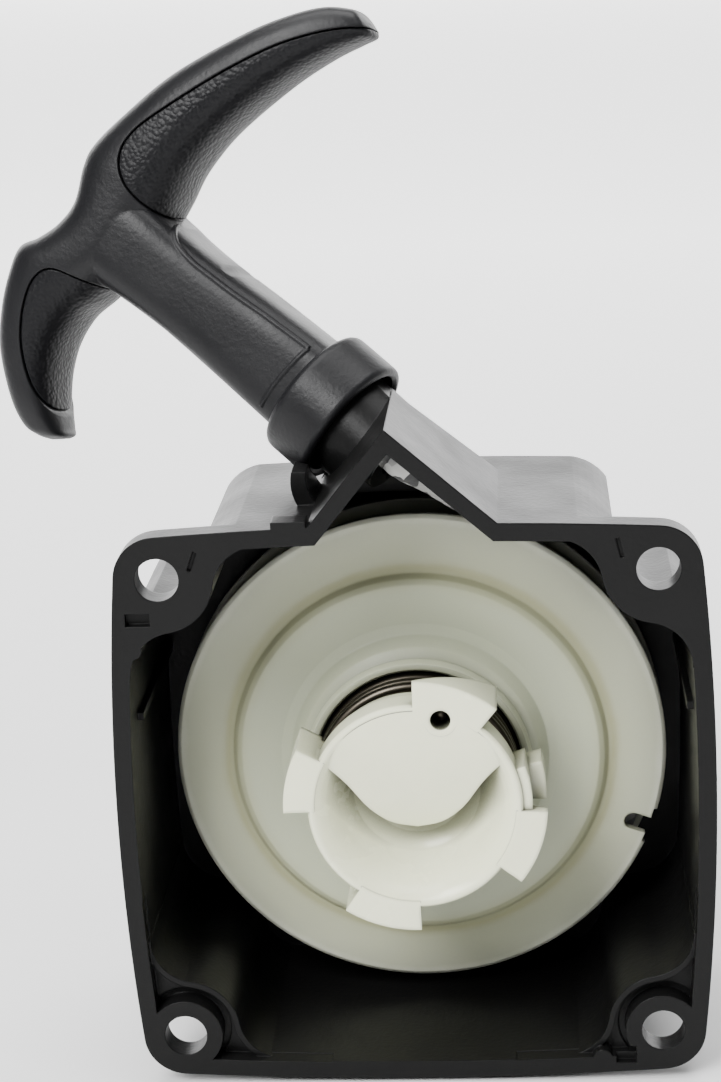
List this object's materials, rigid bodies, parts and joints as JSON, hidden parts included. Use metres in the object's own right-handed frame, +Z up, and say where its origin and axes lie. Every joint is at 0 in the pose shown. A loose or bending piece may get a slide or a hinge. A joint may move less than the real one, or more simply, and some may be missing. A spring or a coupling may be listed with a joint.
{
  "type": "recoil starter",
  "caption": "Recoil starter of a small two-stroke engine: square open casing with corner bolts, sprung rope reel, ratchet drive cup, rope duct and a curved T pull handle.",
  "frame": {"origin": "centre of the four-bolt pattern on the mounting face, which is on the crank axis", "axes": "-Y points out of the open side, towards the engine, along the crank axis; +X is right and +Z is up as seen from the engine, with the pull handle at the upper left"},
  "size_m": [0.0936, 0.047, 0.1352],
  "materials": {
    "black_plastic": "fine satin moulded black",
    "guide_plastic": "smooth black",
    "natural_nylon": "translucent natural nylon",
    "cream_plastic": "smooth cream",
    "rope": "braided light grey",
    "spring_steel": "oiled brown steel",
    "zinc_steel": "zinc plated",
    "brass": "turned",
    "handle_plastic": "satin black",
    "soft_grip": "leather-grained black"
  },
  "bodies": {
    "casing": {"housing": "black_plastic", "post_insert": "brass", "rope_guide": "guide_plastic", "spring_cover": "zinc_steel", "recoil_spring": "spring_steel", "thrust_washer": "zinc_steel", "centre_screw": "zinc_steel", "rope_run": "rope"},
    "reel": {"reel": "natural_nylon", "rope_winding": "rope", "reel_knot": "rope", "damper_spring": "spring_steel", "cup_clip": "spring_steel"},
    "cup": {"drive_cup": "cream_plastic"},
    "rope_end": {"rope_tail": "rope", "knot_washer": "zinc_steel", "handle_knot": "rope"},
    "handle": {"handle_body": "handle_plastic", "grip_upper": "soft_grip", "grip_lower": "soft_grip", "handle_collar": "handle_plastic", "handle_plug": "handle_plastic"}
  },
  "joints": [
    {"name": "reel_spin", "type": "hinge", "parent": "casing", "child": "reel", "pos_m": [0, 0.026, 0], "axis": [0, -1, 0], "range_deg": [0, 1620], "stiffness_Nm_per_rad": 0.008, "springref_deg": -1432.39, "deforming": ["recoil_spring"]},
    {"name": "cup_wind", "type": "hinge", "parent": "reel", "child": "cup", "pos_m": [0, 0.01, 0], "axis": [0, -1, 0], "range_deg": [-270, 0], "stiffness_Nm_per_rad": 0.08, "springref_deg": 45.84, "deforming": ["damper_spring"]},
    {"name": "handle_pull", "type": "slide", "parent": "casing", "child": "rope_end", "axis": [-0.7256, 0.3746, 0.5772], "range_m": [0, 0.7215], "deforming": ["rope_run"]},
    {"name": "handle_twist", "type": "hinge", "parent": "rope_end", "child": "handle", "pos_m": [-0.02807, 0.03284, 0.06162], "axis": [-0.7256, 0.3746, 0.5772], "continuous": true}
  ],
  "couplings": [
    {"joint": "handle_pull", "follows": "reel_spin", "m_per_rad": 0.0255}
  ]
}
